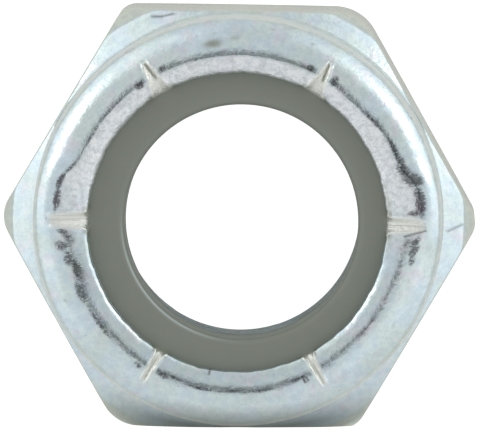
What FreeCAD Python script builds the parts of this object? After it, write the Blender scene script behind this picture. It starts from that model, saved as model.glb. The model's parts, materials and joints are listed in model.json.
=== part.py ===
import FreeCAD, Part
import math
import os
import Sketcher

# Nylon insert lock nut for a half inch coarse thread, zinc plated steel with a grey nylon ring.
# The steel body is one piece: a turned blank whose hexagon is cut on its flats, with a thin collar
# on top. The collar is rolled inwards over the nylon ring and staked in six places.
# Frame: millimetres, origin in the middle of the bearing face, +Z along the bore to the collar,
# +X to a corner of the hexagon, flats square to Y.

# Driving sizes: name, value in millimetres or degrees, what it measures.
# Across the nut they run outwards from the thread: bore, ring, collar, flats, corners.
SIZES = (
    ("thread_bore", 11.00, "minor diameter of the thread, left as a plain bore"),
    ("countersink_width", 1.05, "thread bore to the mouth in the bearing face"),
    ("countersink_angle", 45.0, "slope of that mouth"),
    ("ring_grip", 0.20, "how far the ring reaches inside the thread bore"),
    ("ring_wall", 2.67, "nylon ring from its bore to its outside"),
    ("ring_thickness", 3.40, "nylon ring along the bore"),
    ("ring_inner_edge", 0.35, "rounding of the ring's upper inner edge"),
    ("ring_clearance", 0.03, "play left round the ring and under the lip"),
    ("collar_wall", 1.20, "thickness of the collar beside the ring"),
    ("collar_height", 4.10, "foot of the collar to its crest"),
    ("roll_radius", 0.60, "outer bend of the rolled collar"),
    ("roll_turn", 45.0, "angle that the outer bend turns before the wider one"),
    ("crest_inset", 1.55, "outside of the collar to its crest"),
    ("lip_thickness", 0.75, "rolled wall at the crest"),
    ("lip_reach", 0.82, "crest to the inner edge of the lip"),
    ("lip_drop", 0.35, "how far the lip falls from the crest to its edge"),
    ("lip_nose", 0.10, "how far the edge of the lip stands out at its middle"),
    ("crimp_bevel", 0.50, "corner inside the rolled collar, and the edge of the ring in it"),
    ("stake_count", 6, "stakes round the lip"),
    ("stake_depth", 0.60, "depth of a stake at the edge of the lip"),
    ("stake_half_angle", 36.0, "half the angle of the chisel that staked the lip"),
    ("stake_headroom", 0.90, "height of the cut above the crest"),
    ("stake_margin", 0.35, "how far the cut starts inside the lip"),
    ("stake_runout", 0.10, "how far the cut runs past its shallow end"),
    ("hexagon_height", 11.00, "bearing face to the foot of the collar"),
    ("flat_ledge", 0.325, "outside of the collar to the flats"),
    ("collar_root", 0.14, "bevel between the upper chamfer and the collar"),
    ("chamfer_angle", 30.0, "slope of the chamfers under and above the hexagon"),
    ("bearing_inset", 0.475, "flats to the edge of the bearing ring"),
    ("corner_relief", 0.05, "sharp corner of the hexagon to the outside of the blank"),
    ("shoulder_width", 0.65, "steep band between the upper chamfer and the corners"),
    ("shoulder_angle", 58.0, "slope of that band"),
    ("corner_right", 1.10, "rounding of the corner on +X"),
    ("corner_upper_right", 2.10, "rounding of the next corner, counterclockwise"),
    ("corner_upper_left", 0.90, "rounding of the third corner"),
    ("corner_left", 1.50, "rounding of the corner on -X"),
    ("corner_lower_left", 1.70, "rounding of the fifth corner"),
    ("corner_lower_right", 1.10, "rounding of the sixth corner"),
    ("cutter_margin", 1.00, "how far the hexagon cut reaches past the blank"),
)

CORNERS = (
    "corner_right",
    "corner_upper_right",
    "corner_upper_left",
    "corner_left",
    "corner_lower_left",
    "corner_lower_right",
)
CORNER_STEP = 360 / len(CORNERS)
HALF_STEP = CORNER_STEP / 2

# How the sketcher numbers its own two axes, and the points of a line or an arc
ACROSS_AXIS, UP_AXIS = range(-1, -3, -1)
START, END, MIDDLE = range(1, 4)
ORIGIN = (ACROSS_AXIS, START)

# Places worked out from the sizes: name, formula, what it is
PLACES = [
    ("bore_across", "=sizes.thread_bore / 2", "wall of the thread bore"),
    ("ring_bore_across", "=bore_across - sizes.ring_grip", "bore of the nylon ring"),
    ("ring_across", "=ring_bore_across + sizes.ring_wall", "outside of the nylon ring"),
    ("recess_across", "=ring_across + sizes.ring_clearance", "wall of the recess"),
    ("collar_across", "=recess_across + sizes.collar_wall", "outside of the collar"),
    ("flat_across", "=collar_across + sizes.flat_ledge", "middle of a flat"),
    ("bearing_across", "=flat_across - sizes.bearing_inset", "edge of the bearing ring"),
    ("blank_across", f"=flat_across / cos({HALF_STEP}) - sizes.corner_relief", "outside of the blank"),
    ("mouth_across", "=bore_across + sizes.countersink_width", "mouth of the thread"),
    ("mouth_height", "=sizes.countersink_width * tan(sizes.countersink_angle)", "top of the mouth"),
    ("under_height", "=(blank_across - bearing_across) * tan(sizes.chamfer_angle)", "lower chamfer"),
    ("shoulder_across", "=blank_across - sizes.shoulder_width", "inner edge of the shoulder"),
    ("shoulder_top", "=sizes.hexagon_height - (shoulder_across - collar_across)"
     " * tan(sizes.chamfer_angle)", "top of the shoulder"),
    ("shoulder_foot", "=shoulder_top - sizes.shoulder_width * tan(sizes.shoulder_angle)",
     "foot of the shoulder"),
    ("root_across", "=collar_across + sizes.collar_root * cos(sizes.chamfer_angle)",
     "bevel at the collar's foot, outer end"),
    ("root_foot", "=sizes.hexagon_height - sizes.collar_root * sin(sizes.chamfer_angle)",
     "bevel at the collar's foot, outer end"),
    ("root_top", "=sizes.hexagon_height + sizes.collar_root", "the same bevel, end on the collar"),
    ("crest_height", "=sizes.hexagon_height + sizes.collar_height", "crest of the collar"),
    ("crest_across", "=collar_across - sizes.crest_inset", "crest of the collar"),
    ("brow_radius", "=(sizes.crest_inset - sizes.roll_radius * (1 - cos(sizes.roll_turn)))"
     " / cos(sizes.roll_turn)", "wider bend up to the crest"),
    ("roll_foot", "=crest_height - sizes.roll_radius * sin(sizes.roll_turn)"
     " - brow_radius * (1 - sin(sizes.roll_turn))", "foot of the outer bend"),
    ("brow_across", "=collar_across - sizes.roll_radius * (1 - cos(sizes.roll_turn))",
     "where the two bends meet"),
    ("brow_foot", "=roll_foot + sizes.roll_radius * sin(sizes.roll_turn)", "where the bends meet"),
    ("lip_across", "=crest_across - sizes.lip_reach", "edge of the lip"),
    ("lip_top", "=crest_height - sizes.lip_drop", "upper edge of the lip"),
    ("lip_under", "=crest_height - sizes.lip_thickness", "underside of the lip"),
    ("lip_radius", "=(sizes.lip_reach ^ 2 + sizes.lip_drop ^ 2) / (2 * sizes.lip_drop)",
     "bend from the crest to the lip"),
    ("nose_across", "=lip_across - sizes.lip_nose", "middle of the lip's edge"),
    ("nose_height", "=(lip_top + lip_under) / 2", "middle of the lip's edge"),
    ("recess_bend", "=recess_across - sizes.crimp_bevel", "end of the flat underside"),
    ("recess_top", "=lip_under - sizes.crimp_bevel", "top of the recess wall"),
    ("ring_top", "=lip_under - sizes.ring_clearance", "top of the nylon ring"),
    ("recess_floor", "=ring_top - sizes.ring_thickness", "floor of the recess, seat of the ring"),
    ("ring_bevel_across", "=ring_across - sizes.crimp_bevel", "ring, outer edge"),
    ("ring_bevel_foot", "=ring_top - sizes.crimp_bevel", "ring, outer edge"),
    ("ring_inner_across", "=ring_bore_across + sizes.ring_inner_edge", "ring, inner edge"),
    ("ring_inner_foot", "=ring_top - sizes.ring_inner_edge", "ring, inner edge"),
    ("ring_turn_across", "=ring_bore_across + sizes.ring_inner_edge * (1 - cos(45))",
     "middle of the ring's inner edge"),
    ("ring_turn_height", "=ring_top - sizes.ring_inner_edge * (1 - sin(45))",
     "middle of the ring's inner edge"),
    ("cutter_radius", "=blank_across + sizes.cutter_margin", "outside of the hexagon cut"),
    ("cutter_height", "=crest_height + sizes.cutter_margin", "height of the hexagon cut"),
    ("stake_ceiling", "=crest_height + sizes.stake_headroom", "top of the stake cut"),
    ("stake_inner", "=lip_across - sizes.stake_margin", "inner end of the stake cut"),
    ("stake_crest", "=crest_across", "stake cut over the crest"),
    ("stake_outer", "=brow_across + sizes.stake_runout", "outer end of the stake cut"),
    ("stake_bottom_inner", "=lip_top - sizes.stake_depth", "bottom of the stake at the lip"),
    ("stake_bottom_crest", "=crest_height - sizes.stake_depth * (brow_across - crest_across)"
     " / (brow_across - lip_across)", "bottom of the stake at the crest"),
    ("stake_bottom_outer", "=brow_foot", "bottom of the stake where it runs out"),
]
for station in ("inner", "crest", "outer"):
    PLACES.append((f"stake_right_{station}", f"=(stake_ceiling - stake_bottom_{station})"
                   " * tan(sizes.stake_half_angle)", "one side of the cut at its top"))
    PLACES.append((f"stake_left_{station}", f"=-stake_right_{station}", "the other side"))
for number, corner in enumerate(CORNERS):
    reach = f"(flat_across - sizes.{corner}) / cos({HALF_STEP})"
    turn = CORNER_STEP * number
    PLACES.append((f"{corner}_across", f"={reach} * cos({turn})", "middle of the rounding"))
    PLACES.append((f"{corner}_along", f"={reach} * sin({turn})", "middle of the rounding"))


def fill_sheet(document, name, rows):
    """A sheet with one row for each value: its name, the value under that alias, its meaning."""
    sheet = document.addObject("Spreadsheet::Sheet", name)
    for row, (alias, content, meaning) in enumerate(rows, start=1):
        sheet.set(f"A{row}", alias)
        sheet.set(f"B{row}", str(content))
        sheet.set(f"C{row}", meaning)
        sheet.setAlias(f"B{row}", alias)
    document.recompute()
    return sheet


doc = FreeCAD.newDocument("lock_nut")
sizes = fill_sheet(doc, "sizes", SIZES)
places = fill_sheet(doc, "places", PLACES)
SHEETS = {"sizes": sizes, "places": places}


def number_of(cell):
    """The number in a cell that is named as sheet.alias, or nought where there is no cell."""
    if cell is None:
        return 0.0
    sheet_name, alias = cell.split(".")
    return float(SHEETS[sheet_name].get(alias))


def origin_feature(body, role):
    """A plane or an axis of the body's own origin."""
    return next(feature for feature in body.Origin.OriginFeatures if feature.Role == role)


def new_sketch(body, name, plane):
    """An empty sketch on one of the body's own origin planes."""
    sketch = body.newObject("Sketcher::SketchObject", name)
    sketch.AttachmentSupport = [(origin_feature(body, plane), "")]
    sketch.MapMode = "FlatFace"
    return sketch


def bind(sketch, kind, targets, cell):
    """A dimension of the sketch that takes its value from a cell."""
    index = sketch.addConstraint(Sketcher.Constraint(kind, *targets, number_of(cell)))
    sketch.setExpression(f"Constraints[{index}]", cell)


def hold_point(sketch, geometry, end, across, along):
    """A point of the sketch held at two cells from its origin, or on an axis where one is None."""
    if across is None:
        sketch.addConstraint(Sketcher.Constraint("PointOnObject", geometry, end, UP_AXIS))
    else:
        bind(sketch, "DistanceX", (*ORIGIN, geometry, end), across)
    if along is None:
        sketch.addConstraint(Sketcher.Constraint("PointOnObject", geometry, end, ACROSS_AXIS))
    else:
        bind(sketch, "DistanceY", (*ORIGIN, geometry, end), along)


def point_of(across, along):
    """The point of a sketch that two cells give."""
    return FreeCAD.Vector(number_of(across), number_of(along), 0)


def middle_of_arc(start, end, radius):
    """The middle of the shorter arc from start to end that bulges to the right of the way."""
    chord = end - start
    rise = radius - math.sqrt(max(radius ** 2 - chord.Length ** 2 / 4, 0))
    outwards = FreeCAD.Vector(chord.y, -chord.x, 0) / chord.Length
    return (start + end) / 2 + outwards * rise


def add_outline(sketch, corners):
    """A closed outline, counterclockwise. Each corner is (across, along) for a straight line to the
    next one, or (across, along, radius) for an arc to it that bulges outwards."""
    points = [point_of(*corner[:2]) for corner in corners]
    stretches = []
    for start, end, corner in zip(points, points[1:] + points[:1], corners):
        if len(corner) == 2:
            geometry = sketch.addGeometry(Part.LineSegment(start, end))
            stretches.append((geometry, START, END))
            continue
        radius = corner[2]
        middle = middle_of_arc(start, end, number_of(radius))
        geometry = sketch.addGeometry(Part.Arc(start, middle, end))
        bind(sketch, "Radius", (geometry,), radius)
        drawn_from = sketch.getPoint(geometry, START)
        forwards = drawn_from.distanceToPoint(start) < drawn_from.distanceToPoint(end)
        stretches.append((geometry, START, END) if forwards else (geometry, END, START))
    for (geometry, _, last), (following, first, _) in zip(stretches, stretches[1:] + stretches[:1]):
        sketch.addConstraint(Sketcher.Constraint("Coincident", geometry, last, following, first))
    for (geometry, first, _), corner in zip(stretches, corners):
        hold_point(sketch, geometry, first, *corner[:2])


def revolve(body, name, corners):
    """A solid of revolution about Z; corners run counterclockwise in the plane of X and Z."""
    sketch = new_sketch(body, f"{name}_section", "XZ_Plane")
    add_outline(sketch, corners)
    turned = body.newObject("PartDesign::Revolution", name)
    turned.Profile = sketch
    turned.ReferenceAxis = (sketch, ["V_Axis"])
    turned.Angle = 360
    doc.recompute()
    return turned


def cut_hexagon(body):
    """Six flats with a rounding of its own at each corner, cut from the blank all the way up."""
    sketch = new_sketch(body, "hexagon_outline", "XY_Plane")
    up = FreeCAD.Vector(0, 0, 1)
    outside = sketch.addGeometry(Part.Circle(FreeCAD.Vector(), up, number_of("places.cutter_radius")))
    sketch.addConstraint(Sketcher.Constraint("Coincident", outside, MIDDLE, *ORIGIN))
    bind(sketch, "Radius", (outside,), "places.cutter_radius")
    roundings = []
    for number, corner in enumerate(CORNERS):
        place = (f"places.{corner}_across", f"places.{corner}_along")
        radius = f"sizes.{corner}"
        circle = Part.Circle(point_of(*place), up, number_of(radius))
        opens = math.radians(CORNER_STEP * number - HALF_STEP)
        closes = math.radians(CORNER_STEP * number + HALF_STEP)
        rounding = sketch.addGeometry(Part.ArcOfCircle(circle, opens, closes))
        hold_point(sketch, rounding, MIDDLE, *place)
        bind(sketch, "Radius", (rounding,), radius)
        roundings.append(rounding)
    for rounding, following in zip(roundings, roundings[1:] + roundings[:1]):
        ends = sketch.getPoint(rounding, END), sketch.getPoint(following, START)
        flat = sketch.addGeometry(Part.LineSegment(*ends))
        sketch.addConstraint(Sketcher.Constraint("Tangent", rounding, END, flat, START))
        sketch.addConstraint(Sketcher.Constraint("Tangent", flat, END, following, START))
    cut = body.newObject("PartDesign::Pocket", "hexagon")
    cut.Profile = sketch
    cut.Type = "Length"
    cut.Reversed = True
    cut.setExpression("Length", "places.cutter_height")
    doc.recompute()
    return cut


def stake_section(body, station):
    """One triangle of the chisel mark, in a plane square to X."""
    sketch = new_sketch(body, f"stake_{station}", "YZ_Plane")
    sketch.setExpression("AttachmentOffset.Base.z", f"places.stake_{station}")
    add_outline(sketch, (
        (None, f"places.stake_bottom_{station}"),
        (f"places.stake_right_{station}", "places.stake_ceiling"),
        (f"places.stake_left_{station}", "places.stake_ceiling"),
    ))
    return sketch


def stake_lip(body):
    """Six chisel marks, deep at the edge of the lip and running out where the outer bend starts."""
    stake = body.newObject("PartDesign::SubtractiveLoft", "stake")
    stake.Profile = stake_section(body, "inner")
    stake.Sections = [stake_section(body, "crest"), stake_section(body, "outer")]
    stake.Ruled = True
    doc.recompute()
    round_the_lip = body.newObject("PartDesign::PolarPattern", "stakes")
    round_the_lip.Originals = [stake]
    round_the_lip.Axis = (origin_feature(body, "Z_Axis"), [""])
    round_the_lip.Angle = 360
    round_the_lip.setExpression("Occurrences", "sizes.stake_count")
    body.Tip = round_the_lip
    doc.recompute()
    return stake, round_the_lip


def make_nut_body():
    """The steel body: turned blank with recess and rolled collar, hexagon, stakes."""
    body = doc.addObject("PartDesign::Body", "nut_body")
    body.Label = "nut_body"
    blank = revolve(body, "blank", (
        ("places.mouth_across", None),
        ("places.bearing_across", None),
        ("places.blank_across", "places.under_height"),
        ("places.blank_across", "places.shoulder_foot"),
        ("places.shoulder_across", "places.shoulder_top"),
        ("places.root_across", "places.root_foot"),
        ("places.collar_across", "places.root_top"),
        ("places.collar_across", "places.roll_foot", "sizes.roll_radius"),
        ("places.brow_across", "places.brow_foot", "places.brow_radius"),
        ("places.crest_across", "places.crest_height", "places.lip_radius"),
        ("places.lip_across", "places.lip_top"),
        ("places.nose_across", "places.nose_height"),
        ("places.lip_across", "places.lip_under"),
        ("places.recess_bend", "places.lip_under"),
        ("places.recess_across", "places.recess_top"),
        ("places.recess_across", "places.recess_floor"),
        ("places.bore_across", "places.recess_floor"),
        ("places.bore_across", "places.mouth_height"),
    ))
    steps = (blank, cut_hexagon(body), *stake_lip(body))
    for before, after in zip(steps, steps[1:]):
        if after.Shape.Volume >= before.Shape.Volume:
            raise RuntimeError(f"{after.Label} took nothing away")
    return body


def make_nylon_ring():
    """The nylon ring: seated on the floor of the recess, its outer edge bevelled under the lip."""
    body = doc.addObject("PartDesign::Body", "nylon_ring")
    body.Label = "nylon_ring"
    revolve(body, "ring", (
        ("places.ring_bore_across", "places.recess_floor"),
        ("places.ring_across", "places.recess_floor"),
        ("places.ring_across", "places.ring_bevel_foot"),
        ("places.ring_bevel_across", "places.ring_top"),
        ("places.ring_inner_across", "places.ring_top"),
        ("places.ring_turn_across", "places.ring_turn_height"),
        ("places.ring_bore_across", "places.ring_inner_foot"),
    ))
    return body


def check_document():
    """Stop if any object of the document failed to compute."""
    for item in doc.Objects:
        if "Invalid" in item.State or "Error" in item.State:
            raise RuntimeError(f"{item.Label} failed: {item.State}")


def write_part(body):
    """One STEP file for each piece, named as the piece is."""
    shape = body.Shape
    if shape.isNull() or not shape.isValid():
        raise RuntimeError(f"{body.Label} has no valid shape")
    shape.exportStep(f"parts/{body.Label}.step")
    print(f"{body.Label}: {shape.Volume:.2f} cubic millimetres, {len(shape.Faces)} faces")


pieces = (make_nut_body(), make_nylon_ring())
doc.recompute()
check_document()
os.makedirs("parts", exist_ok=True)
for piece in pieces:
    write_part(piece)
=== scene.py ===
# Nylon insert lock nut: a zinc plated steel nut with a rolled and staked collar over a grey nylon ring.
# It lies on its bearing face, seen from straight above.
import json
import math

import bpy
import numpy as np
from mathutils import Matrix, Vector


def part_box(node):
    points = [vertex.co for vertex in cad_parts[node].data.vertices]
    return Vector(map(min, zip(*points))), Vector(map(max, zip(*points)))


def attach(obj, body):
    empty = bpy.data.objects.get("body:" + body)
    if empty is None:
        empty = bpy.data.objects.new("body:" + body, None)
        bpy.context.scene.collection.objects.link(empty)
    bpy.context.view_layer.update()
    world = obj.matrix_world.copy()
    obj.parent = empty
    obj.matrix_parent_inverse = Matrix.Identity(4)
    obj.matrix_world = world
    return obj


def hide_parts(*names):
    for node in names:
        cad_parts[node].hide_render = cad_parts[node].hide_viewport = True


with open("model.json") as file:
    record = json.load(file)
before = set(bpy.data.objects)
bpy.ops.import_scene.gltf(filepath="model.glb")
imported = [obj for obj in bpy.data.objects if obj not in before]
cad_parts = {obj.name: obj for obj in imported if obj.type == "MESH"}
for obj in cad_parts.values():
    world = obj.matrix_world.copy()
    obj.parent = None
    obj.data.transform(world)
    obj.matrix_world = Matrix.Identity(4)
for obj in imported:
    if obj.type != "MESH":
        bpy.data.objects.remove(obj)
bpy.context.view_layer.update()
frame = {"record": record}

MM = 0.001
FULL_TURN = 2 * math.pi
CORNER_TURN = FULL_TURN / 6
HALF_CORNER = CORNER_TURN / 2

# Sizes taken from the frame, in metres
MOUNTS = {mount["name"]: mount for mount in frame["record"]["mounts"]}
THREAD_MINOR = MOUNTS["thread"]["dims"]["r_mm"] * MM
RING_BORE = MOUNTS["ring_bore"]["dims"]["r_mm"] * MM
BODY_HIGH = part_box("nut_body")[1]
RING_LOW, RING_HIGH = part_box("nylon_ring")
CREST_HEIGHT = BODY_HIGH.z
HALF_FLATS = BODY_HIGH.y
RING_OUTSIDE = RING_HIGH.x
RECESS_FLOOR = RING_LOW.z
RING_TOP = RING_HIGH.z

# Sizes of the steel body. Corners are listed counterclockwise from the one on +X, and flats from the
# one at 30 degrees.
PLAY = 0.03 * MM
COLLAR_WALL = 1.30 * MM
COLLAR_TALL = 4.10 * MM
CHAMFER_SLOPE = math.tan(math.radians(30))
SHOULDER_SLOPE = math.tan(math.radians(58))
SHOULDER_WIDE = 0.65 * MM
CORNER_RELIEF = 0.05 * MM
BEARING_INSET = 0.475 * MM
MOUTH_WIDE = 1.05 * MM
CORNER_ROUNDINGS = np.array([1.05, 2.10, 0.90, 1.50, 1.70, 1.10]) * MM
FLATS_AT = np.radians([30, 90, 150, 210, 270, 330])
FLAT_INSETS = np.array([0.04, 0.00, 0.04, 0.03, 0.00, 0.00]) * MM
GROUND_FLAT_AT = math.radians(270.8)
GROUND_FLAT = HALF_FLATS - 0.03 * MM
COLLAR_ASIDE = np.array([0.01, 0.07]) * MM
RECESS_WALL = RING_OUTSIDE + PLAY
COLLAR = RECESS_WALL + COLLAR_WALL
COLLAR_FOOT = CREST_HEIGHT - COLLAR_TALL
BEARING_EDGE = HALF_FLATS - BEARING_INSET
BLANK = HALF_FLATS / math.cos(HALF_CORNER) - CORNER_RELIEF
SHOULDER = BLANK - SHOULDER_WIDE
EDGE_SOFTNESS = 0.10 * MM
FOOT_SOFTNESS = 0.12 * MM
# The rolled top reaches this far below the crest, and the collar's offset fades in over the other two
TOP_BAND = 0.90 * MM
COLLAR_BAND = 0.40 * MM
OFFSET_FADE = 0.12 * MM

# Rolled collar. The lip's edge is sharper on one side of the nut than on the other.
ROLL_RADIUS = 0.60 * MM
ROLL_TURN = math.radians(45)
CREST_INSET = 1.65 * MM
LIP_EDGE = 6.76 * MM
LIP_WAVER = 0.012 * MM
LIP_DROP = 0.24 * MM
LIP_THICK = 0.75 * MM
LIP_SOFTNESS = 0.20 * MM
LIP_SHARPER = 0.30
LIP_SHARP_AT = math.radians(-17)
LIP_FADE = 0.10 * MM
FOOT_BAND = 0.20 * MM
# Border between the lip's matt upper half, painted whiter as painted light, and its lower half, painted
# darker as painted shade
MATT_TURNED = math.radians(2)
MATT_BORDER = 2.5
STEEP_FROM = 0.75
STEEP_OVER = 0.17
# Where the crest swings from its circle: degrees round the axis, half spread, millimetres outwards
CREST_SWINGS = (
    (5, 12, 0.68),
    (174, 12, 0.58),
    (145, 16, 0.05),
    (29, 10, 0.13),
    (50, 7, -0.05),
    (-40, 25, -0.12),
)
CRIMP_BEVEL = 0.50 * MM

# Six stakes in the lip: degrees round the axis, half width at the lip and at the outer end,
# where that end is, depth at the lip, how steep its sides are, and how much of a slit it has, where a
# full one leans and starts some way out from the lip; lengths in millimetres
STAKES = (
    (-0.3, 0.36, 0.28, 8.62, 0.24, 1.8, 0.3),
    (60.5, 0.41, 0.14, 8.42, 0.31, 1.2, 1.0),
    (121.1, 0.41, 0.15, 8.45, 0.31, 1.2, 1.0),
    (180.3, 0.38, 0.30, 8.65, 0.24, 1.8, 0.3),
    (240.2, 0.22, 0.15, 8.52, 0.19, 1.5, 0.4),
    (299.0, 0.22, 0.15, 8.48, 0.19, 1.5, 0.4),
)
STAKE_FLARE = 0.10 * MM
STAKE_RIM = 0.22
STAKE_FOOT_AT = 1.35
STAKE_FOOT = 0.35
STAKE_START = 8
STAKE_FULL = 6
STAKE_RIM_SHARE = 0.5
SHALLOW_SLIT_AT = -0.1
SLIT_WIDE = 0.038 * MM
SLIT_DEEP = 0.20 * MM
SLIT_LEAN = 0.14
SLIT_ASIDE = 0.045 * MM
SLIT_FROM = 7.35 * MM
SLIT_START = 0.20 * MM
RIM_HIGH = 0.025 * MM
FOOT_SHADE = 0.30 * MM

# Dark feathered marks, partly marks of the rolling tool and partly painted shade and painted dark
# reflection: degrees round the axis, half spread, millimetres outwards from the crest, half width,
# strength
FEATHERS = (
    (90, 30.0, 0.00, 0.045, 0.52),
    (40, 20.0, 0.00, 0.060, 0.60),
    (145, 24.0, 0.02, 0.075, 0.62),
    (-92, 27.0, 0.00, 0.065, 0.54),
    (116.8, 1.8, 0.18, 0.17, 0.75),
    (104, 5.0, 0.00, 0.07, 0.60),
    (83, 6.0, 0.00, 0.06, 0.60),
    (65.4, 1.7, 0.16, 0.20, 0.80),
    (56.3, 1.5, 0.20, 0.30, 0.85),
    (38, 7.0, 0.00, 0.10, 0.85),
    (26, 6.0, 0.10, 0.16, 0.85),
    (21.5, 3.2, 0.18, 0.22, 0.80),
    (18, 3.6, 0.08, 0.34, 0.90),
    (14.5, 2.8, 0.10, 0.50, 1.00),
    (7.5, 5.5, 0.04, 0.30, 1.00),
    (3.8, 1.2, -0.24, 0.42, 0.80),
    (-5.5, 2.0, 0.10, 0.19, 1.00),
    (-8.5, 2.4, 0.32, 0.20, 1.00),
    (-11.5, 2.0, 0.44, 0.17, 0.85),
    (-6.5, 2.6, -0.24, 0.20, 0.60),
    (-15, 4.0, 0.00, 0.06, 0.42),
    (-38, 6.0, 0.00, 0.06, 0.68),
    (-56, 1.2, 0.10, 0.10, 0.50),
    (-65.5, 1.4, 0.14, 0.15, 0.80),
    (-68, 3.5, -0.06, 0.11, 0.75),
    (-81, 5.0, 0.00, 0.08, 0.80),
    (-90, 3.0, -0.06, 0.09, 0.75),
    (-101.5, 5.0, 0.00, 0.09, 0.90),
    (-111, 3.0, -0.12, 0.12, 0.65),
    (-115, 2.6, 0.00, 0.18, 0.75),
    (-124, 1.8, 0.20, 0.15, 0.75),
    (-143, 8.0, 0.08, 0.13, 0.80),
    (-155, 5.0, 0.12, 0.20, 0.85),
    (-162.3, 4.0, -0.14, 0.26, 0.95),
    (-161, 10.0, -0.24, 0.38, 0.50),
    (-167, 2.8, 0.16, 0.26, 0.95),
    (-171.5, 2.2, 0.30, 0.36, 0.80),
    (-174, 3.0, -0.20, 0.30, 0.60),
    (-176.3, 1.2, -0.10, 0.30, 0.80),
    (173.5, 4.0, 0.02, 0.20, 0.95),
    (168, 4.0, 0.06, 0.17, 0.90),
    (162, 4.0, 0.02, 0.13, 0.75),
    (150, 6.0, 0.00, 0.09, 0.80),
    (138, 7.0, 0.00, 0.07, 0.75),
    (126.5, 2.0, 0.02, 0.20, 0.95),
)
# The thin dark line on the crest is a painted reflection: its strength and half width
CREST_REFLECTION_LINE = 0.32
CREST_REFLECTION_WIDE = 0.060 * MM
FEATHER_EDGE = 1.6

# Olive stains on the roll: degrees round the axis, millimetres from it, half length, half width,
# strength
STAINS = (
    (98.7, 8.17, 0.42, 0.19, 1.00),
    (91.5, 8.36, 0.22, 0.09, 0.40),
    (97.8, 8.62, 0.14, 0.06, 0.35),
    (80.5, 8.87, 0.14, 0.05, 0.45),
    (68.0, 8.76, 0.13, 0.06, 0.50),
    (8.0, 6.92, 0.95, 0.11, 0.50),
    (-7.5, 6.92, 0.85, 0.11, 0.45),
    (-32.5, 8.48, 0.13, 0.06, 0.35),
    (-18.0, 8.20, 0.10, 0.06, 0.30),
    (205.5, 8.58, 0.12, 0.07, 0.45),
    (163.0, 8.62, 0.10, 0.05, 0.25),
)
# Dark scratches: from and to, each in degrees and millimetres, then half width and strength
SCRATCHES = (
    (-1.7, 8.56, -2.7, 8.10, 0.045, 0.85),
    (-2.7, 8.10, -4.0, 7.60, 0.045, 0.85),
    (-0.3, 10.25, -2.3, 9.55, 0.05, 0.70),
    (113.9, 10.06, 111.5, 9.90, 0.06, 0.80),
    (111.5, 9.90, 108.2, 9.84, 0.05, 0.70),
    (260.6, 6.72, 260.3, 7.02, 0.04, 0.80),
)
STAIN_EDGE = 1.5
SCRATCHED_BELOW = 0.60 * MM
# Painted shade and dark reflection along the ground flat: how far below the collar's foot, how deep
# inwards and how far round it reaches
GROUND_SHADE_BELOW = 1.40 * MM
GROUND_SHADE_DEEP = 1.15 * MM
GROUND_SHADE_SPREAD = math.radians(34)

# Nylon ring: rounding of its inner edge, how far its bore lies off the axis, the height of one band
# of painted light on its bore wall, and the painted highlight on its rim
RING_EDGE = 0.35 * MM
RING_ASIDE = 0.17 * MM
WALL_LIGHT_BAND = 0.80 * MM
RIM_INSIDE = 0.14 * MM
RIM_WIDE = 0.045 * MM
RIM_HIGHLIGHT_AT = math.radians(222)
RIM_HIGHLIGHT_SPREAD = math.radians(38)

# Thread in the bore: how much of half a pitch is groove, and how much of that is flank
PITCH = 1.954 * MM
THREAD_DEEP = 0.85 * MM
THREAD_GROOVE = 0.80
THREAD_FLANK = 0.62

# Steps of the meshes: round the body and the ring, and along the body's section
AROUND = 600
CROWDING = 0.5
RING_AROUND = 360
ROLLED_ROWS = 50
LIP_ROWS = 8
TOP_ROWS = 14
THREAD_ROWS = 38
BODY_ROWS_BETWEEN = (3, 4, 6, 0, 1, 4, 0, 0, 2, 2, 1)
RING_EDGE_ROWS = 12
RING_ROWS_BETWEEN = (8, 6)

# Colours of the plating and of what marks it
BLUISH = (0.78, 0.91, 0.97)
GREENISH = (0.77, 0.88, 0.85)
PINKISH = (0.86, 0.86, 0.91)
# Whiter colour of the matt upper lip: painted light
LIT_MATT_WHITE = (0.97, 0.985, 1.0)
STEEP_CREAM = (0.93, 0.94, 0.86)
FOOT_TINT = (0.95, 1.0, 1.0)
SPECK_GREY = (0.45, 0.45, 0.44)
# Dark colours of the tool marks and of the painted reflection and shade
MARK_AND_REFLECTION_PURPLE = (0.125, 0.110, 0.125)
MARK_AND_REFLECTION_GREY = (0.15, 0.16, 0.16)
# Tints that lie over the plating: painted value, strength, colour
TINTS = (
    ("in_stake", 0.85, (0.93, 0.93, 0.86)),
    # Painted shade in the stakes' slits and at their dark feet by the lip
    ("slit_shade", 0.62, (0.34, 0.35, 0.27)),
    # Painted shade and dark reflection along the ground flat
    ("ground_shaded", 0.92, (0.10, 0.115, 0.105)),
    ("stained", 0.80, (0.33, 0.33, 0.25)),
    # Grey painted shade round the dark marks
    ("marks_and_dark_reflection", 0.34, (0.34, 0.36, 0.37)),
)
# Darkening of the lower half of the lip: painted shade
LOWER_LIP_SHADE = 0.91

# Colours of the nylon
NYLON_DARK = (0.222, 0.238, 0.198)
NYLON_LIGHT = (0.240, 0.256, 0.214)
# Painted highlight on the ring's rim
NYLON_RIM_HIGHLIGHT = (0.52, 0.60, 0.57)


def turns(count, crowding):
    """Angles once round, closer together at the six corners: an even angle less a share of the sine
    of six times that angle."""
    even = np.arange(count) / count * FULL_TURN
    return even - crowding / 6 * np.sin(6 * even)


def around_to(turn, place):
    """Angle from a place round the axis, between minus and plus half a turn."""
    return (turn - place + math.pi) % FULL_TURN - math.pi


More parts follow.
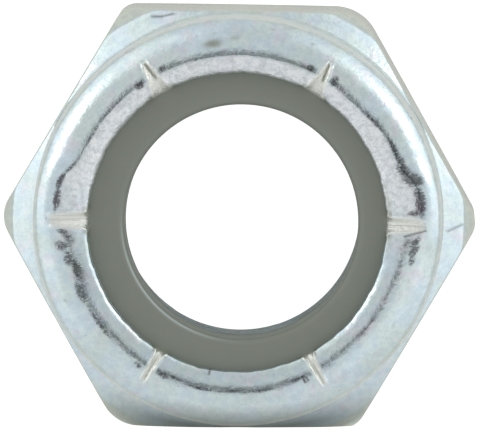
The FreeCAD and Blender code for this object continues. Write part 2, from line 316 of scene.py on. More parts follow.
def hexagon_reach(turn):
    """Distance from the axis to the side of the hexagon. It is the least of six flats, each at its
    distance over the cosine from its direction. Between the places where a corner's circle touches
    two flats it is where the ray leaves that circle. The ground flat cuts both off."""
    distances = HALF_FLATS - FLAT_INSETS
    cosines = np.maximum(np.cos(turn[None, :] - FLATS_AT[:, None]), 0.1)
    reach = np.min(distances[:, None] / cosines, axis=0)
    for number, rounding in enumerate(CORNER_ROUNDINGS):
        pair = [number - 1, number]
        normals = np.stack([np.cos(FLATS_AT[pair]), np.sin(FLATS_AT[pair])], axis=1)
        middle = np.linalg.solve(normals, distances[pair] - rounding)
        touching = middle + rounding * normals
        first, last = np.arctan2(touching[:, 1], touching[:, 0])
        along = middle[0] * np.cos(turn) + middle[1] * np.sin(turn)
        aside = middle[1] * np.cos(turn) - middle[0] * np.sin(turn)
        on_arc = along + np.sqrt(np.maximum(rounding ** 2 - aside ** 2, 0))
        between = (around_to(turn, first) > 0) & (around_to(turn, last) < 0)
        reach = np.where(between, on_arc, reach)
    ground = GROUND_FLAT / np.maximum(np.cos(turn - GROUND_FLAT_AT), 0.1)
    return np.minimum(reach, ground)


def upper_cones(across):
    """Height of the top of the hexagon: the lower of the 30 degree chamfer and the steep shoulder,
    with their meeting line softened."""
    chamfer = COLLAR_FOOT - (across - COLLAR) * CHAMFER_SLOPE
    shoulder_top = COLLAR_FOOT - (SHOULDER - COLLAR) * CHAMFER_SLOPE
    shoulder = shoulder_top - (across - SHOULDER) * SHOULDER_SLOPE
    softness = EDGE_SOFTNESS / 2
    gap = chamfer - shoulder
    return (chamfer + shoulder - np.sqrt(gap ** 2 + softness ** 2)) / 2


def spread(value, count):
    """A value as one row all the way round."""
    return np.zeros(count) + value


def line(start, end, rows):
    """Rows of points evenly along the line from start to end, without its ends."""
    share = (np.arange(rows) + 1)[:, None, None] / (rows + 1)
    return start + (end - start) * share


def soft_corner(before, corner, after, reach, rows=5):
    """Rows of a quadratic curve round a corner. It starts on the line from before, at reach from the
    corner, and ends on the line to after, as far from it."""
    back = before - corner
    forth = after - corner
    start = corner + back / np.hypot(*back) * reach
    end = corner + forth / np.hypot(*forth) * reach
    share = (np.arange(rows) / (rows - 1))[:, None, None]
    return (1 - share) ** 2 * start + 2 * share * (1 - share) * corner + share ** 2 * end


def crest_reach(turn):
    """Distance of the crest from the collar's axis: a circle round the nut's own axis, and flat-topped
    bells that swing it."""
    reach = COLLAR - CREST_INSET - COLLAR_ASIDE[0] * np.cos(turn) - COLLAR_ASIDE[1] * np.sin(turn)
    for degrees, half_spread, outwards in CREST_SWINGS:
        beside = around_to(turn, math.radians(degrees)) / math.radians(half_spread)
        reach = reach + outwards * MM * np.exp(-beside ** 4)
    return reach


def lip_reach(turn):
    """Distance of the lip's edge from the collar's axis: a circle that wavers a little, by three sines of
    the angle."""
    waver = np.sin(17 * turn + 1) + 0.7 * np.sin(41 * turn) + 0.5 * np.sin(73 * turn + 2)
    return LIP_EDGE + LIP_WAVER * waver


def rolled_section(turn, rows):
    """Across and up for the rolled collar from its wall to the lip. The normal turns from level to
    upright and past it: on a tight bend, then on a wider one to the crest, then on the bend of the
    lip. Radii of the last two follow from where the crest lies at that angle."""
    inset = COLLAR - crest_reach(turn)
    brow_radius = (inset - ROLL_RADIUS * (1 - math.cos(ROLL_TURN))) / math.cos(ROLL_TURN)
    reach = COLLAR - inset - lip_reach(turn)
    lip_radius = (reach ** 2 + LIP_DROP ** 2) / (2 * LIP_DROP)
    lip_turn = np.arcsin(reach / lip_radius)
    roll_foot = (CREST_HEIGHT - ROLL_RADIUS * math.sin(ROLL_TURN)
                 - brow_radius * (1 - math.sin(ROLL_TURN)))
    first = ROLL_RADIUS * ROLL_TURN
    second = first + brow_radius * (math.pi / 2 - ROLL_TURN)
    whole = second + lip_radius * lip_turn
    way = np.linspace(0, 1, rows)[:, None] * whole
    lean = np.where(
        way < first,
        way / ROLL_RADIUS,
        np.where(way < second, ROLL_TURN + (way - first) / brow_radius,
                 math.pi / 2 + (way - second) / lip_radius),
    )
    outer = np.minimum(lean, ROLL_TURN)
    brow = np.clip(lean, ROLL_TURN, math.pi / 2)
    lip = np.maximum(lean, math.pi / 2)
    across = (COLLAR - ROLL_RADIUS * (1 - np.cos(outer))
              - brow_radius * (math.cos(ROLL_TURN) - np.cos(brow)) + lip_radius * np.cos(lip))
    up = (roll_foot + ROLL_RADIUS * np.sin(outer)
          + brow_radius * (np.sin(brow) - math.sin(ROLL_TURN)) - lip_radius * (1 - np.sin(lip)))
    return np.stack([across, up], axis=1)


def stake_depth(turn, across):
    """How far the stakes press the metal down, how much of each place lies in one, and how much
    painted shade lies in its slit. A stake's half width and depth fall in straight lines from the lip to
    its outer end, with a flare at the lip. It is a trough with sloping sides, a thin slit along it and a
    low rim on each side. The dark foot at each side of it, by the lip, is painted shade as well and is
    counted with the slit."""
    depth = np.zeros_like(across)
    share = np.zeros_like(across)
    slit_shade = np.zeros_like(across)
    for degrees, wide_in, wide_out, end, deep, steep, slit in STAKES:
        along = np.clip((end * MM - across) / (end * MM - LIP_EDGE), 0, 1)
        flare = STAKE_FLARE * np.exp((LIP_EDGE - across) / STAKE_FLARE)
        half = (wide_out + (wide_in - wide_out) * along) * MM + flare
        aside = around_to(turn, math.radians(degrees)) * across / half
        trough = np.clip((1 - np.abs(aside)) * steep, 0, 1)
        rim = np.exp(-((np.abs(aside) - 1) / STAKE_RIM) ** 2)
        slit_at = SHALLOW_SLIT_AT * half
        begun = 1
        if slit == 1:
            slit_at = SLIT_ASIDE - (end * MM - across) * SLIT_LEAN
            begun = np.clip((across - SLIT_FROM) / SLIT_START, 0, 1)
        cut = np.exp(-((aside * half - slit_at) / SLIT_WIDE) ** 2) * begun
        foot = np.exp(-((np.abs(aside) - STAKE_FOOT_AT) / STAKE_FOOT) ** 2)
        foot = foot * np.clip((LIP_EDGE + FOOT_SHADE - across) / LIP_FADE, 0, 1)
        started = np.clip(along * STAKE_START, 0, 1)
        depth = depth + deep * MM * along * trough + started * (SLIT_DEEP * slit * cut - RIM_HIGH * rim)
        within = np.clip(trough * STAKE_FULL + rim * STAKE_RIM_SHARE, 0, 1)
        share = np.maximum(share, within * started)
        slit_shade = np.maximum(slit_shade, np.maximum(cut * started * slit, foot))
    return depth, share, slit_shade


def feather_cover(turn, across):
    """How densely the dark feathered marks cover a place: the most of a thin line on the crest, which is
    a painted reflection, and of rounded patches, which are partly tool marks and partly painted
    reflection and shade. A patch falls off as the exponential of minus a power of its squared distance,
    counted in its own half spreads."""
    outwards = across - crest_reach(turn)
    cover = CREST_REFLECTION_LINE * np.exp(-(outwards / CREST_REFLECTION_WIDE) ** 2)
    for degrees, half_spread, middle, wide, strength in FEATHERS:
        beside = around_to(turn, math.radians(degrees)) / math.radians(half_spread)
        off = (outwards / MM - middle) / wide
        cover = np.maximum(cover, strength * np.exp(-(beside ** 2 + off ** 2) ** FEATHER_EDGE))
    return cover


def stain_cover(turn, across):
    """How much of each place is stained: soft ovals with their length round the axis, which fall off in
    the way of the feathered patches."""
    cover = np.zeros_like(across)
    for degrees, middle, long, wide, strength in STAINS:
        beside = around_to(turn, math.radians(degrees)) * across / (long * MM)
        off = (across - middle * MM) / (wide * MM)
        cover = np.maximum(cover, strength * np.exp(-(beside ** 2 + off ** 2) ** STAIN_EDGE))
    return cover


def scratch_cover(turn, across):
    """How much of each place is scratched: the bell of its distance from a straight stretch."""
    place = np.stack([across * np.cos(turn), across * np.sin(turn)], axis=-1)
    cover = np.zeros_like(across)
    for first_turn, first_far, last_turn, last_far, wide, strength in SCRATCHES:
        first = polar_point(first_turn, first_far)
        way = polar_point(last_turn, last_far) - first
        share = np.clip((place - first) @ way / (way @ way), 0, 1)
        off = np.linalg.norm(place - first - share[..., None] * way, axis=-1)
        cover = np.maximum(cover, strength * np.exp(-(off / (wide * MM)) ** 2))
    return cover


def polar_point(degrees, far):
    """The level point at that angle, so many millimetres from the axis."""
    return far * MM * np.array([math.cos(math.radians(degrees)), math.sin(math.radians(degrees))])


def thread_reach(turn, up):
    """Distance from the axis to the wall of the thread. The place along one pitch is the height over
    the pitch less the share of a turn; the wall is at the minor radius on a crest, and falls back
    along straight flanks to a flat root."""
    place = (up / PITCH - turn / FULL_TURN) % 1.0
    from_root = np.abs(place - 0.5) * 2
    depth = np.clip((THREAD_GROOVE - from_root) / THREAD_FLANK, 0, 1)
    cone = THREAD_MINOR + MOUTH_WIDE - up
    return np.maximum(THREAD_MINOR + THREAD_DEEP * depth, cone)


def joined(parts, between):
    """Rows of the parts one after another, with rows on the straight line from each to the next."""
    rows = [parts[0]]
    for part, count in zip(parts[1:], between):
        rows.append(line(rows[-1][-1], part[0], count))
        rows.append(part)
    return np.concatenate(rows)


def ring_at(turn, across, up):
    """One row of points: a distance from the axis and a height for each angle."""
    return np.array([spread(across, len(turn)), spread(up, len(turn))])


def body_rows(turn):
    """The whole section of the steel body at each angle, row by row: across and up."""
    reach = hexagon_reach(turn)
    mouth = ring_at(turn, THREAD_MINOR + MOUTH_WIDE, 0)
    bearing = ring_at(turn, BEARING_EDGE, 0)
    lower = ring_at(turn, reach, (reach - BEARING_EDGE) * CHAMFER_SLOPE)
    upper = ring_at(turn, reach, upper_cones(reach))
    past_upper = ring_at(turn, reach - EDGE_SOFTNESS, upper_cones(reach - EDGE_SOFTNESS))
    foot_outer = ring_at(turn, COLLAR + EDGE_SOFTNESS, upper_cones(COLLAR + EDGE_SOFTNESS))
    foot = ring_at(turn, COLLAR, COLLAR_FOOT)
    rolled = rolled_section(turn, ROLLED_ROWS)
    lip = rolled[-1]
    lip_softness = LIP_SOFTNESS * (1 - LIP_SHARPER * np.cos(turn - LIP_SHARP_AT))
    lip_under = ring_at(turn, lip_reach(turn), CREST_HEIGHT - LIP_THICK)
    under_end = ring_at(turn, RECESS_WALL - CRIMP_BEVEL, CREST_HEIGHT - LIP_THICK)
    bevel_end = ring_at(turn, RECESS_WALL, CREST_HEIGHT - LIP_THICK - CRIMP_BEVEL)
    recess_corner = ring_at(turn, RECESS_WALL, RECESS_FLOOR)
    share = np.linspace(0, 1, TOP_ROWS)[:, None]
    top_outer = reach - 1.1 * EDGE_SOFTNESS
    top_inner = np.minimum(COLLAR + FOOT_SOFTNESS, top_outer - 0.05 * EDGE_SOFTNESS)
    top_across = top_outer * (1 - share) + top_inner * share
    top = np.stack([top_across, upper_cones(top_across)], axis=1)
    bore_up = np.linspace(RECESS_FLOOR, 0.5 * MOUTH_WIDE, THREAD_ROWS)
    bore_up = np.repeat(bore_up[:, None], len(turn), axis=1)
    bore = np.stack([thread_reach(turn[None, :], bore_up), bore_up], axis=1)
    return joined([
        soft_corner(bore[-1], mouth, bearing, EDGE_SOFTNESS),
        soft_corner(mouth, bearing, lower, EDGE_SOFTNESS),
        soft_corner(bearing, lower, upper, EDGE_SOFTNESS),
        soft_corner(lower, upper, past_upper, EDGE_SOFTNESS),
        top,
        soft_corner(foot_outer, foot, rolled[0], FOOT_SOFTNESS),
        rolled[:-5],
        soft_corner(rolled[-5], lip, lip_under, lip_softness, LIP_ROWS),
        soft_corner(lip, lip_under, under_end, EDGE_SOFTNESS, 4),
        np.array([under_end, bevel_end]),
        recess_corner[None],
        bore,
    ], BODY_ROWS_BETWEEN)


def closed_mesh(name, across, up, turn, aside):
    """A mesh round the axis from rows of a closed section. Rows and angles both join up at their
    ends, and each face has its corners in the order that points outwards. Aside moves the rows off
    the axis: one share for each point, of the collar's own offset."""
    rows, count = across.shape
    x = across * np.cos(turn) + COLLAR_ASIDE[0] * aside
    y = across * np.sin(turn) + COLLAR_ASIDE[1] * aside
    points = np.stack([x, y, up], axis=-1)
    row, column = np.meshgrid(np.arange(rows), np.arange(count), indexing="ij")
    next_row = (row + 1) % rows
    next_column = (column + 1) % count
    corners = np.stack([
        row * count + column,
        row * count + next_column,
        next_row * count + next_column,
        next_row * count + column,
    ], axis=-1)
    mesh = bpy.data.meshes.new(name)
    mesh.vertices.add(rows * count)
    mesh.vertices.foreach_set("co", points.reshape(-1))
    mesh.loops.add(rows * count * 4)
    mesh.loops.foreach_set("vertex_index", corners.reshape(-1).astype(np.int32))
    mesh.polygons.add(rows * count)
    mesh.polygons.foreach_set("loop_start", np.arange(rows * count, dtype=np.int32) * 4)
    mesh.update(calc_edges=True)
    mesh.polygons.foreach_set("use_smooth", np.ones(rows * count, dtype=bool))
    piece = bpy.data.objects.new(name, mesh)
    bpy.context.scene.collection.objects.link(piece)
    return piece


def paint(piece, name, values):
    """One value for each point of the mesh, for its material to read."""
    attribute = piece.data.attributes.new(name, "FLOAT", "POINT")
    attribute.data.foreach_set("value", values.reshape(-1).astype(np.float32))


def steepness(across, up):
    """How steep the section is at each point, from 0 to 1: the rise over the way between the rows before
    and after it, past the least that counts as steep."""
    step_across = np.roll(across, -1, axis=0) - np.roll(across, 1, axis=0)
    step_up = np.roll(up, -1, axis=0) - np.roll(up, 1, axis=0)
    rise_share = np.abs(step_up) / np.maximum(np.hypot(step_across, step_up), 1e-9)
    return np.clip((rise_share - STEEP_FROM) / STEEP_OVER, 0, 1)


def ground_shade(turn, across, up):
    """Painted shade and dark reflection on the top along the ground flat: full at the flat, and falling
    evenly to nothing further in. How far out a place lies is the mean of its distances from the axis and
    towards the flat."""
    outwards = across * (1 - np.sin(turn)) / 2
    inwards = (outwards - (GROUND_FLAT - GROUND_SHADE_DEEP)) / GROUND_SHADE_DEEP
    beside = np.abs(around_to(turn, GROUND_FLAT_AT)) / GROUND_SHADE_SPREAD
    on_top = np.clip((up - COLLAR_FOOT + GROUND_SHADE_BELOW) / COLLAR_BAND, 0, 1)
    return np.clip(inwards, 0, 1) * np.exp(-beside ** 4) * on_top


def make_body():
    """The steel body: its section all the way round, with the stakes pressed into the lip. The collar
    and the recess lie a little aside of the hexagon and the thread. The lip is matt on the upper half,
    painted whiter there as painted light, and painted darker on the lower one as painted shade."""
    turn = turns(AROUND, CROWDING)
    rows = body_rows(turn)
    across, up = rows[:, 0], rows[:, 1]
    on_top = up > CREST_HEIGHT - TOP_BAND
    depth, in_stake, slit_shade = stake_depth(turn, across)
    up = up - np.where(on_top, depth, 0)
    up = np.minimum(up, CREST_HEIGHT)
    raised = np.clip((up - COLLAR_FOOT) / COLLAR_BAND + 1, 0, 1)
    aside = raised * np.clip((HALF_FLATS - across) / OFFSET_FADE, 0, 1)
    piece = closed_mesh("plated_body", across, up, turn, aside)
    on_lip = np.clip((crest_reach(turn) - across) / LIP_FADE, 0, 1) * on_top
    upper_half = np.clip(0.5 + MATT_BORDER * np.sin(turn + MATT_TURNED), 0, 1)
    by_foot = np.exp(-((across - COLLAR) / FOOT_BAND) ** 4)
    paint(piece, "in_stake", in_stake * on_top)
    # Painted shade in the stakes' slits and at their feet
    paint(piece, "slit_shade", slit_shade * on_top)
    paint(piece, "steep", steepness(across, up) * (1 - by_foot) * (across > COLLAR))
    paint(piece, "foot", steepness(across, up) * by_foot)
    # Painted shade and dark reflection on the top along the ground flat
    paint(piece, "ground_shaded", ground_shade(turn, across, up))
    paint(piece, "stained", stain_cover(turn, across) * (up > COLLAR_FOOT))
    paint(piece, "scratched", scratch_cover(turn, across) * (up > COLLAR_FOOT - SCRATCHED_BELOW))
    # Matt upper half of the lip, painted whiter there as painted light
    paint(piece, "matt_and_lit_lip", on_lip * upper_half)
    # Lower half of the lip, painted darker as painted shade
    paint(piece, "shaded_lip", on_lip * (1 - upper_half))
    # Dark marks: partly tool marks, partly painted reflection and shade
    paint(piece, "marks_and_dark_reflection", feather_cover(turn, across) * on_top * (1 - in_stake))
    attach(piece, "root")
    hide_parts("nut_body")
    return piece


def make_ring():
    """The nylon ring: a plain ring with a bevelled outer edge and a round inner edge. Its bore reaches a
    little further on one side: its distance from the axis goes with the cosine of the angle."""
    turn = turns(RING_AROUND, 0)
    bore = RING_BORE + RING_ASIDE * np.cos(turn)
    inner_low = ring_at(turn, bore, RECESS_FLOOR)
    inner_top = ring_at(turn, bore, RING_TOP)
    outer_top = ring_at(turn, RING_OUTSIDE - CRIMP_BEVEL, RING_TOP)
    corners = np.array([
        inner_low,
        ring_at(turn, RING_OUTSIDE, RECESS_FLOOR),
        ring_at(turn, RING_OUTSIDE, RING_TOP - CRIMP_BEVEL),
        outer_top,
    ])
    edge = soft_corner(outer_top, inner_top, inner_low, RING_EDGE, RING_EDGE_ROWS)
    rows = joined([corners, edge, inner_low[None]], RING_ROWS_BETWEEN)[:-1]
    piece = closed_mesh("grey_ring", rows[:, 0], rows[:, 1], turn, 1)
    off = (rows[:, 0] - bore - RIM_INSIDE) / RIM_WIDE
    beside = around_to(turn, RIM_HIGHLIGHT_AT) / RIM_HIGHLIGHT_SPREAD
    on_rim = rows[:, 1] > RING_TOP - RING_EDGE / 2
    # Painted highlight on the rim of the ring
    paint(piece, "rim_highlight", np.exp(-off ** 2) * np.exp(-beside ** 4) * on_rim)
    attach(piece, "root")
    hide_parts("nylon_ring")
    return piece


def add_node(tree, kind, **settings):
    """A node of that kind with its settings."""
    made = tree.nodes.new(kind)
    for setting, value in settings.items():
        setattr(made, setting, value)
    return made


def feed(tree, value, socket):
    """Link an output to the socket, or set the socket's own value."""
    if isinstance(value, bpy.types.NodeSocket):
        tree.links.new(value, socket)
    elif isinstance(value, tuple) and len(value) == 3 and socket.type == "RGBA":
        socket.default_value = (*value, 1)
    else:
        socket.default_value = value


def maths(tree, operation, *values):
    """The result of one operation on the values."""
    made = add_node(tree, "ShaderNodeMath", operation=operation)
    for value, socket in zip(values, made.inputs):
        feed(tree, value, socket)
    return made.outputs[0]


def times(tree, first, second):
    """The product of two values."""
    return maths(tree, "MULTIPLY", first, second)


def plus(tree, first, second):
    """The sum of two values."""
    return maths(tree, "ADD", first, second)


def rise(tree, value, low, high, bottom=0.0, top=1.0):
    """A smooth step of the value from low to high."""
    made = add_node(tree, "ShaderNodeMapRange", interpolation_type="SMOOTHSTEP")
    for number, given in enumerate((value, low, high, bottom, top)):
        feed(tree, given, made.inputs[number])
    return made.outputs[0]


def blend(tree, share, first, second, kind="MIX"):
    """Two colours mixed by a share."""
    made = add_node(tree, "ShaderNodeMix", data_type="RGBA", blend_type=kind)
    sockets = [socket for socket in made.inputs if socket.enabled]
    for given, socket in zip((share, first, second), sockets):
        feed(tree, given, socket)
    return next(socket for socket in made.outputs if socket.enabled)


def noise(tree, place, scale, detail=2.0, roughness=0.5, twist=0.0):
    """Soft random spots; scale is their number in a metre."""
    made = add_node(tree, "ShaderNodeTexNoise")
    feed(tree, place, made.inputs["Vector"])
    made.inputs["Scale"].default_value = scale
    made.inputs["Detail"].default_value = detail
    made.inputs["Roughness"].default_value = roughness
    made.inputs["Distortion"].default_value = twist
    return made.outputs[0]


def object_place(tree):
    """Object coordinates."""
    return add_node(tree, "ShaderNodeTexCoord").outputs["Object"]


def painted(tree, name):
    """A painted value of the piece's own mesh."""
    return add_node(tree, "ShaderNodeAttribute", attribute_name=name).outputs["Fac"]


def new_material(name):
    """A material and its shader."""
    material = bpy.data.materials.new(name)
    material.use_nodes = True
    return material, material.node_tree, material.node_tree.nodes["Principled BSDF"]


def polar_place(tree, place, around, outwards):
    """A place for a stretched pattern: the direction from the axis times one number, and the distance
    from the axis times another."""
    level = add_node(tree, "ShaderNodeVectorMath", operation="MULTIPLY")
    feed(tree, place, level.inputs[0])
    level.inputs[1].default_value = (1, 1, 0)
    far = add_node(tree, "ShaderNodeVectorMath", operation="LENGTH")
    feed(tree, level.outputs[0], far.inputs[0])
    direction = add_node(tree, "ShaderNodeVectorMath", operation="NORMALIZE")
    feed(tree, level.outputs[0], direction.inputs[0])
    turned = add_node(tree, "ShaderNodeVectorMath", operation="SCALE")
    feed(tree, direction.outputs[0], turned.inputs[0])
    turned.inputs["Scale"].default_value = around
    lifted = add_node(tree, "ShaderNodeCombineXYZ")
    feed(tree, times(tree, far.outputs["Value"], outwards), lifted.inputs["Z"])
    both = add_node(tree, "ShaderNodeVectorMath", operation="ADD")
    feed(tree, turned.outputs[0], both.inputs[0])
    feed(tree, lifted.outputs[0], both.inputs[1])
    return both.outputs[0]


def tinted(tree, colour, name, strength, tint):
    """The colour blended towards a tint, by a painted value times a strength."""
    return blend(tree, times(tree, painted(tree, name), strength), colour, tint)


def plating_colour(tree, place, fine):
    """Bluish, greenish and pinkish clouds with a mottle over them. The matt upper half of the lip is
    painted whiter as painted light and has curds of the fine pattern, steep faces are creamy, the rest of
    the lip is painted darker as painted shade, and a few specks are grey."""
    clouds = rise(tree, noise(tree, place, 650, 7, 0.75), 0.40, 0.60)
    patches = rise(tree, noise(tree, place, 1100, 7, 0.75), 0.50, 0.64, 0, 0.8)
    colour = blend(tree, clouds, BLUISH, GREENISH)
    colour = blend(tree, patches, colour, PINKISH)
    # Upper lip painted whiter: painted light
    colour = tinted(tree, colour, "matt_and_lit_lip", 0.8, LIT_MATT_WHITE)
    colour = tinted(tree, colour, "steep", 0.9, STEEP_CREAM)
    colour = tinted(tree, colour, "foot", 1.0, FOOT_TINT)
    mottle = rise(tree, noise(tree, place, 2600, 6, 0.75), 0.35, 0.65, 0.90, 1.05)
    colour = blend(tree, 1.0, colour, mottle, "MULTIPLY")
    # Lower lip painted darker: painted shade
    lip_shading = rise(tree, painted(tree, "shaded_lip"), 0, 1, 1, LOWER_LIP_SHADE)
    colour = blend(tree, 1.0, colour, lip_shading, "MULTIPLY")
    curds = rise(tree, fine, 0.36, 0.62, 0.88, 1.06)
    curdled = blend(tree, 1.0, colour, curds, "MULTIPLY")
    colour = blend(tree, painted(tree, "matt_and_lit_lip"), colour, curdled)
    specks = rise(tree, noise(tree, place, 4200, 2, 0.6), 0.70, 0.76, 0, 0.5)
    return blend(tree, specks, colour, SPECK_GREY)


def tool_marks_and_reflection(tree, fine, streaks):
    """How dark each place is with marks of the rolling tool, with the painted dark reflection and shade
    among them, and with scratches. Where feathers cover it more, more of the combed streaks stand over
    their threshold, and branching lines show where the fine pattern is near its middle."""
    covered = painted(tree, "marks_and_dark_reflection")
    threshold = maths(tree, "SUBTRACT", 0.79, times(tree, covered, 0.44))
    combed = rise(tree, maths(tree, "SUBTRACT", streaks, threshold), -0.07, 0.13, 0, 0.85)
    solid = rise(tree, fine, 0.36, 0.56, 0.70, 1.0)
    from_middle = maths(tree, "ABSOLUTE", maths(tree, "SUBTRACT", fine, 0.5))
    branches = rise(tree, from_middle, 0.095, 0.02)
    coral = times(tree, branches, rise(tree, covered, 0.25, 0.80, 0, 0.95))
    feathers = maths(tree, "MAXIMUM", times(tree, combed, solid), coral)
    return maths(tree, "MAXIMUM", feathers, painted(tree, "scratched"))


def plating_height(tree, place, fine, streaks):
    """Height of the plating, in millimetres: soft waves, fine pits that are deeper on the matt lip,
    lumps on that lip, and torn streaks in the stakes."""
    matt = painted(tree, "matt_and_lit_lip")
    waves = times(tree, noise(tree, place, 1300, 2), 0.024)
    pits = times(tree, noise(tree, place, 6100, 4, 0.65), plus(tree, 0.010, times(tree, matt, 0.020)))
    lumps = times(tree, fine, times(tree, matt, 0.035))
    torn = times(tree, streaks, times(tree, painted(tree, "in_stake"), 0.05))
    return plus(tree, plus(tree, waves, pits), plus(tree, lumps, torn))


def make_zinc():
    """Bright zinc plating: clouded, with a matt lip, creamy stakes, stains, the dark feathered marks
    of the rolling tool with painted dark reflection and painted shade among them, and fine dents."""
    material, tree, shader = new_material("bright_zinc")
    place = object_place(tree)
    fine = noise(tree, place, 5200, 3, 0.6, 0.8)
    streaks = noise(tree, polar_place(tree, place, 95, 1700), 1, 4, 0.6, 0.5)
    colour = plating_colour(tree, place, fine)
    for name, strength, tint in TINTS:
        colour = tinted(tree, colour, name, strength, tint)
    # Dark colours of the tool marks and of the painted reflection and shade
    dark_patches = rise(tree, noise(tree, place, 260, 1), 0.42, 0.58)
    dark_marks = blend(tree, dark_patches, MARK_AND_REFLECTION_PURPLE, MARK_AND_REFLECTION_GREY)
    colour = blend(tree, tool_marks_and_reflection(tree, fine, streaks), colour, dark_marks)
    feed(tree, colour, shader.inputs["Base Color"])
    shader.inputs["Metallic"].default_value = 1
    rough = plus(tree, 0.13, times(tree, painted(tree, "matt_and_lit_lip"), 0.24))
    rough = plus(tree, rough, times(tree, painted(tree, "in_stake"), 0.12))
    rough = plus(tree, rough, times(tree, painted(tree, "foot"), 0.30))
    feed(tree, rough, shader.inputs["Roughness"])
    dents = add_node(tree, "ShaderNodeBump")
    dents.inputs["Distance"].default_value = MM
    feed(tree, plating_height(tree, place, fine, streaks), dents.inputs["Height"])
    feed(tree, dents.outputs[0], shader.inputs["Normal"])
    return material


def make_nylon():
    """Plain grey nylon with a soft gloss. The wall of its bore is painted lighter as painted light, in
    bands as a sine of the height, and its rim has a painted highlight on one side."""
    material, tree, shader = new_material("grey_nylon")
    place = object_place(tree)
    colour = blend(tree, noise(tree, place, 900, 3), NYLON_DARK, NYLON_LIGHT)
    parts = add_node(tree, "ShaderNodeSeparateXYZ")
    feed(tree, place, parts.inputs[0])
    height = parts.outputs[2]
    # Painted light on the bore wall, in bands as a sine of the height
    wall = rise(tree, height, RING_TOP - 0.2 * RING_EDGE, RING_TOP - 0.9 * RING_EDGE)
    waves = maths(tree, "SINE", times(tree, height, FULL_TURN / WALL_LIGHT_BAND))
    lighter = plus(tree, 0.65, times(tree, waves, 0.22))
    colour = blend(tree, 1.0, colour, plus(tree, 1.0, times(tree, wall, lighter)), "MULTIPLY")
    # Painted highlight on the rim
    colour = tinted(tree, colour, "rim_highlight", 0.8, NYLON_RIM_HIGHLIGHT)
    feed(tree, colour, shader.inputs["Base Color"])
    shader.inputs["Roughness"].default_value = 0.55
    shader.inputs["Coat Weight"].default_value = 0.45
    shader.inputs["Coat Roughness"].default_value = 0.16
    return material


body = make_body()
ring = make_ring()
body.data.materials.append(make_zinc())
ring.data.materials.append(make_nylon())


# Floor: its own white as the camera sees it, in mirrored rays and under the bore, where it is painted
# light that fills the nut's shadow, and its paint
FLOOR_HALF = 1500 * MM
FLOOR_WHITE = 0.80
FLOOR_MIRRORED = 0.15
FLOOR_PAINT = (0.62, 0.62, 0.57)


def make_floor():
    """A pale floor. It is lit and takes the nut's shadow, and has some white of its own for the camera
    and for mirrored rays, with more of it under the bore as painted light that fills the nut's shadow
    there. From below it can be seen through."""
    mesh = bpy.data.meshes.new("floor")
    mesh.from_pydata([(-FLOOR_HALF, -FLOOR_HALF, 0), (FLOOR_HALF, -FLOOR_HALF, 0),
                      (FLOOR_HALF, FLOOR_HALF, 0), (-FLOOR_HALF, FLOOR_HALF, 0)], [], [(0, 1, 2, 3)])
    floor = bpy.data.objects.new("floor", mesh)
    bpy.context.scene.collection.objects.link(floor)
    material = bpy.data.materials.new("pale_floor")
    material.use_nodes = True
    tree = material.node_tree
    tree.nodes.clear()
    diffuse = add_node(tree, "ShaderNodeBsdfDiffuse")
    diffuse.inputs["Color"].default_value = (*FLOOR_PAINT, 1)
    path = add_node(tree, "ShaderNodeLightPath")
    glossy, through = path.outputs["Is Glossy Ray"], path.outputs["Is Transmission Ray"]
    mirrored = maths(tree, "MAXIMUM", glossy, through)
    from_axis = add_node(tree, "ShaderNodeVectorMath", operation="LENGTH")
    feed(tree, object_place(tree), from_axis.inputs[0])
    # More white under the bore: painted light that fills the nut's shadow there
    white_with_bore_light = rise(tree, from_axis.outputs["Value"], THREAD_MINOR, THREAD_MINOR + MOUTH_WIDE, 1, FLOOR_WHITE)
    seen = times(tree, path.outputs["Is Camera Ray"], white_with_bore_light)
    strength = maths(tree, "MAXIMUM", seen, times(tree, mirrored, FLOOR_MIRRORED))
    white = add_node(tree, "ShaderNodeEmission")
    feed(tree, strength, white.inputs["Strength"])
    both = add_node(tree, "ShaderNodeAddShader")
    feed(tree, diffuse.outputs[0], both.inputs[0])
    feed(tree, white.outputs[0], both.inputs[1])
    below = add_node(tree, "ShaderNodeMixShader")
    feed(tree, add_node(tree, "ShaderNodeNewGeometry").outputs["Backfacing"], below.inputs[0])
    feed(tree, both.outputs[0], below.inputs[1])
    feed(tree, add_node(tree, "ShaderNodeBsdfTransparent").outputs[0], below.inputs[2])
    out = add_node(tree, "ShaderNodeOutputMaterial")
    feed(tree, below.outputs[0], out.inputs["Surface"])
    mesh.materials.append(material)


make_floor()

# Camera: where it stands, how large a pixel is at the height it aims at, the size of the picture, and
# where the nut's axis lies in it, from the upper left in pixels
CAMERA_FAR = 667 * MM
CAMERA_TILT = 0.044
CAMERA_ASIDE = 0.011
CAMERA_ROLL = math.radians(0.9)
AIM_HEIGHT = 10.0 * MM
PIXEL = 0.04566 * MM
FRAME_WIDE = 480
FRAME_TALL = 430
AXIS_AT = (238.4, 218.9)
SENSOR_WIDE = 36
SEEN_FROM = 0.01
SEEN_TO = 5


def towards_camera():
    """The way from the nut to the camera."""
    return Vector((CAMERA_ASIDE, CAMERA_TILT, 1)).normalized()


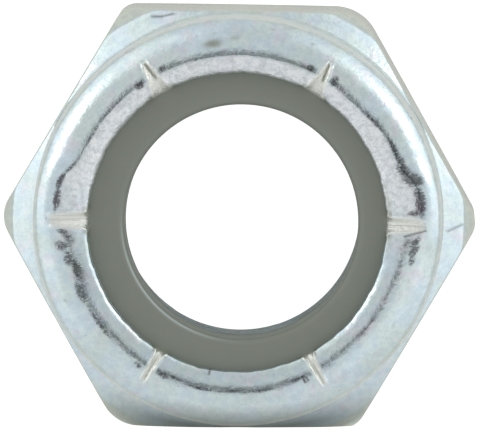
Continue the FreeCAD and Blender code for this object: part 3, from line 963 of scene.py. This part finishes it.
def make_camera():
    """The camera, nearly straight above. It looks against the way towards it, and is shifted so that the
    axis lies at its place in the picture. The lens is the sensor's width times the distance, over the
    width that the picture spans at the height it aims at."""
    data = bpy.data.cameras.new("camera")
    camera = bpy.data.objects.new("camera", data)
    bpy.context.scene.collection.objects.link(camera)
    bpy.context.scene.camera = camera
    aim = Vector((0, 0, AIM_HEIGHT))
    away = towards_camera()
    eye = aim + away * CAMERA_FAR
    forward = -away
    up = Vector((math.sin(-CAMERA_ROLL), math.cos(CAMERA_ROLL), 0))
    right = forward.cross(up).normalized()
    up = right.cross(forward)
    aside = (FRAME_WIDE / 2 - AXIS_AT[0]) * PIXEL
    above = (AXIS_AT[1] - FRAME_TALL / 2) * PIXEL
    eye = eye + right * aside + up * above
    turned = Matrix((right, up, -forward)).transposed().to_4x4()
    camera.matrix_world = Matrix.Translation(eye) @ turned
    data.sensor_width = SENSOR_WIDE
    data.lens = data.sensor_width * CAMERA_FAR / (FRAME_WIDE * PIXEL)
    data.clip_start = SEEN_FROM
    data.clip_end = SEEN_TO


make_camera()


# Lamps and dome
LEFT_LAMP_AT = math.radians(150)
RIGHT_LAMP_AT = math.radians(33)
LAMP_FROM_ZENITH = math.radians(63)
LAMP_FAR = 500 * MM
LAMP_WIDE = 175 * MM
LAMP_TALL = 195 * MM
LAMP_POWER = 0.09
DOME_LEVEL = 0.65
DOME_SLOPE = 0.05
DOME_COLOUR = (0.98, 1.0, 1.02, 1)
OPENING_DARK = 0.85
OPENING_FROM = 0.984
OPENING_TO = 0.999
# Glows on the dome: degrees round the axis, degrees from straight above, strength, and the cosine
# of the angle at which they end; all are full within the same core
GLOW_CORE = 0.99
GLOWS = (
    (126, 66, 0.18, 0.91),
    (33, 63, 0.16, 0.86),
    (52, 66, 0.12, 0.92),
    (-24, 38, 0.16, 0.90),
)


def sky_place(around, from_zenith):
    """The way to a lamp or glow, by its angle round the axis and its angle from straight above."""
    flat = math.sin(from_zenith)
    return Vector((flat * math.cos(around), flat * math.sin(around), math.cos(from_zenith)))


def lined_up(tree, direction, towards):
    """The cosine of the angle between a direction and a fixed one."""
    made = add_node(tree, "ShaderNodeVectorMath", operation="DOT_PRODUCT")
    feed(tree, direction, made.inputs[0])
    made.inputs[1].default_value = towards
    return made.outputs["Value"]


def dome_level(tree, direction):
    """Brightness of the dome in a direction. It is a base level, more low on the left and right, and
    more again in a few round glows. Near the zenith it falls a little towards the upper right. The
    small opening round the camera is dark."""
    parts = add_node(tree, "ShaderNodeSeparateXYZ")
    feed(tree, direction, parts.inputs[0])
    x, y, z = parts.outputs
    low = rise(tree, z, 0.80, 0.45)
    high = rise(tree, z, 0.35, 0.70)
    flat = maths(tree, "SQRT", maths(tree, "SUBTRACT", 1.0001, times(tree, z, z)))
    across = maths(tree, "DIVIDE", x, flat)
    north = rise(tree, maths(tree, "DIVIDE", y, flat), -1.10, 0.30, 0, 0.40)
    side = times(tree, times(tree, across, across), north)
    level = plus(tree, DOME_LEVEL, times(tree, side, low))
    for around, from_zenith, strength, end in GLOWS:
        towards = sky_place(math.radians(around), math.radians(from_zenith))
        glow = rise(tree, lined_up(tree, direction, towards), end, GLOW_CORE, 0, strength)
        level = plus(tree, level, glow)
    slope = plus(tree, times(tree, x, DOME_SLOPE), times(tree, y, DOME_SLOPE))
    level = maths(tree, "SUBTRACT", level, times(tree, slope, high))
    opening = rise(tree, lined_up(tree, direction, towards_camera()), OPENING_FROM, OPENING_TO)
    return times(tree, level, maths(tree, "SUBTRACT", 1.0, times(tree, opening, OPENING_DARK)))


def make_world():
    """The studio: a pale dome for everything but the camera, which sees white."""
    world = bpy.data.worlds.new("studio")
    bpy.context.scene.world = world
    world.use_nodes = True
    tree = world.node_tree
    ground = tree.nodes["Background"]
    level = dome_level(tree, add_node(tree, "ShaderNodeTexCoord").outputs["Generated"])
    seen = add_node(tree, "ShaderNodeLightPath").outputs["Is Camera Ray"]
    hidden = maths(tree, "SUBTRACT", 1.0, seen)
    feed(tree, plus(tree, times(tree, level, hidden), seen), ground.inputs["Strength"])
    ground.inputs["Color"].default_value = DOME_COLOUR


def make_lamp(name, around):
    """An oval soft lamp aimed at the nut."""
    data = bpy.data.lights.new(name, "AREA")
    data.shape = "ELLIPSE"
    data.size = LAMP_WIDE
    data.size_y = LAMP_TALL
    data.energy = LAMP_POWER
    lamp = bpy.data.objects.new(name, data)
    bpy.context.scene.collection.objects.link(lamp)
    away = sky_place(around, LAMP_FROM_ZENITH)
    lamp.location = away * LAMP_FAR
    lamp.rotation_mode = "QUATERNION"
    lamp.rotation_quaternion = away.to_track_quat("Z", "Y")


make_lamp("left_lamp", LEFT_LAMP_AT)
make_lamp("right_lamp", RIGHT_LAMP_AT)
make_world()
bpy.context.scene.view_settings.view_transform = "Standard"
